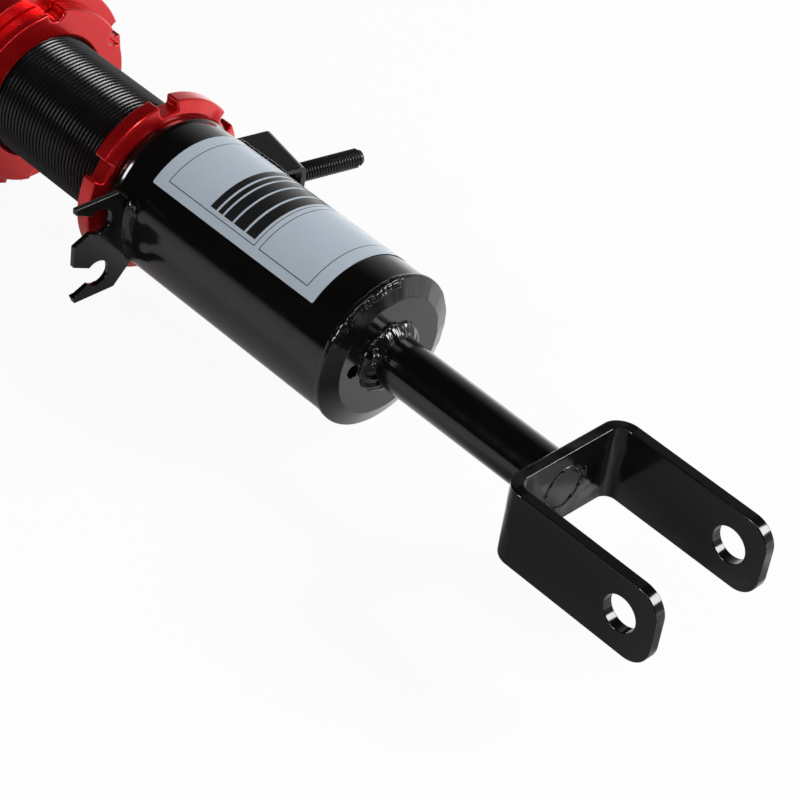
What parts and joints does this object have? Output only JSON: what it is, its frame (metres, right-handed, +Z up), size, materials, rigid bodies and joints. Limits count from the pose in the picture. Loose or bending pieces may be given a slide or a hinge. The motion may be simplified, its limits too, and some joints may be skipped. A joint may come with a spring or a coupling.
{
  "type": "coilover",
  "caption": "Front coilover strut: forked lower mount, threaded damper body, ring-locked spring perch, coil spring, pillow-ball top plate.",
  "frame": {"origin": "centre of the bolt hole through the fork's two ears", "axes": "X along the strut, with the fork towards +X and the top mount towards -X; +Y along the fork bolt towards the stud bracket; +Z up across the fork's plate edges"},
  "size_m": [0.6152, 0.1295, 0.106],
  "materials": {
    "black_paint": "gloss black powder coat on steel",
    "bead_paint": "gloss black powder coat over weld bead",
    "label_film": "satin pale blue-grey film",
    "black_steel": "black zinc plated steel",
    "red_anodised": "bright red anodised",
    "thread_black": "black phosphated and oiled steel thread",
    "plain_aluminium": "turned",
    "valve_brass": "turned",
    "bush_bronze": "sintered bronze",
    "black_rubber": "moulded rubber",
    "spring_paint": "satin black paint on spring steel",
    "grey_steel": "hardened steel",
    "foam": "microcellular polyurethane",
    "hard_chrome": "ground and polished",
    "ptfe": "PTFE",
    "zinc_steel": "zinc plated",
    "black_aluminium": "black anodised"
  },
  "bodies": {
    "lower_mount": {"fork": "black_paint", "plug_weld": "bead_paint", "stem_fork_weld": "bead_paint", "fork_stem": "black_paint", "end_cap": "black_paint", "stem_cap_weld": "bead_paint", "lower_housing": "black_paint", "cap_housing_weld": "bead_paint", "label": "label_film", "hose_bracket": "black_paint", "hose_bracket_weld": "bead_paint", "stud_bracket": "black_paint", "stud_bracket_welds": "bead_paint", "bracket_stud": "black_steel"},
    "lock_ring": {"lower_lock_ring": "red_anodised"},
    "damper": {"damper_tube": "thread_black", "base_plug": "plain_aluminium", "gas_valve": "valve_brass", "rod_guide": "plain_aluminium", "guide_bush": "bush_bronze", "rod_seal": "black_rubber", "gland_cap": "plain_aluminium", "rod_wiper": "black_rubber"},
    "gas_piston": {"floating_piston": "plain_aluminium", "floating_piston_seal": "black_rubber"},
    "spring_base": {"lower_spring_washer": "grey_steel", "coil_spring": "spring_paint"},
    "perch": {"spring_perch": "red_anodised"},
    "perch_collar": {"perch_lock_ring": "red_anodised"},
    "rod": {"upper_spring_washer": "grey_steel", "upper_spring_seat": "red_anodised", "bump_stop": "foam", "dust_boot": "black_rubber", "piston_rod": "hard_chrome", "piston": "grey_steel", "piston_band": "ptfe", "compression_shims": "grey_steel", "rebound_shims": "grey_steel", "piston_nut": "zinc_steel", "lower_spacer": "zinc_steel", "pillow_ball": "hard_chrome", "upper_spacer": "zinc_steel", "top_nut": "zinc_steel"},
    "bearing": {"ball_liner": "ptfe"},
    "top_mount": {"ball_race": "grey_steel", "top_plate": "black_aluminium", "race_circlip": "grey_steel", "top_studs": "zinc_steel"},
    "knob": {"adjuster_knob": "red_anodised"},
    "needle": {"metering_needle": "hard_chrome"}
  },
  "joints": [
    {"name": "height_turn", "type": "hinge", "parent": "lower_mount", "child": "lock_ring", "pos_m": [-0.2696, 0, 0], "axis": [-1, 0, 0], "range_deg": [-2700, 4500]},
    {"name": "height_travel", "type": "slide", "parent": "lock_ring", "child": "damper", "axis": [-1, 0, 0], "range_m": [-0.015, 0.025]},
    {"name": "gas_piston_travel", "type": "slide", "parent": "damper", "child": "gas_piston", "axis": [1, 0, 0], "range_m": [0, 0.0071]},
    {"name": "perch_travel", "type": "slide", "parent": "damper", "child": "spring_base", "axis": [-1, 0, 0], "range_m": [-0.006, 0.006]},
    {"name": "perch_turn", "type": "hinge", "parent": "spring_base", "child": "perch", "pos_m": [-0.35165, 0, 0], "axis": [-1, 0, 0], "range_deg": [-1080, 1080]},
    {"name": "collar_turn", "type": "hinge", "parent": "perch", "child": "perch_collar", "pos_m": [-0.3435, 0, 0], "axis": [1, 0, 0], "range_deg": [0, 40]},
    {"name": "stroke", "type": "slide", "parent": "spring_base", "child": "rod", "axis": [1, 0, 0], "range_m": [0, 0.07], "stiffness_N_per_m": 110000, "deforming": ["coil_spring", "dust_boot"]},
    {"name": "mount_swivel", "type": "hinge", "parent": "rod", "child": "bearing", "pos_m": [-0.5626, 0, 0], "axis": [-1, 0, 0], "continuous": true},
    {"name": "mount_tilt", "type": "hinge", "parent": "bearing", "child": "top_mount", "pos_m": [-0.5626, 0, 0], "axis": [0, 1, 0], "range_deg": [-8, 8]},
    {"name": "knob_turn", "type": "hinge", "parent": "rod", "child": "knob", "pos_m": [-0.5905, 0, 0], "axis": [1, 0, 0], "range_deg": [-540, 540]},
    {"name": "needle_travel", "type": "slide", "parent": "rod", "child": "needle", "axis": [1, 0, 0], "range_m": [-0.0015, 0.0015]}
  ],
  "couplings": [
    {"joint": "height_travel", "follows": "height_turn", "m_per_rad": 0.00031831},
    {"joint": "perch_turn", "follows": "perch_travel", "rad_per_m": 3141.6},
    {"joint": "gas_piston_travel", "follows": "stroke", "ratio": 0.10124},
    {"joint": "knob_turn", "follows": "needle_travel", "rad_per_m": 6283.2}
  ]
}
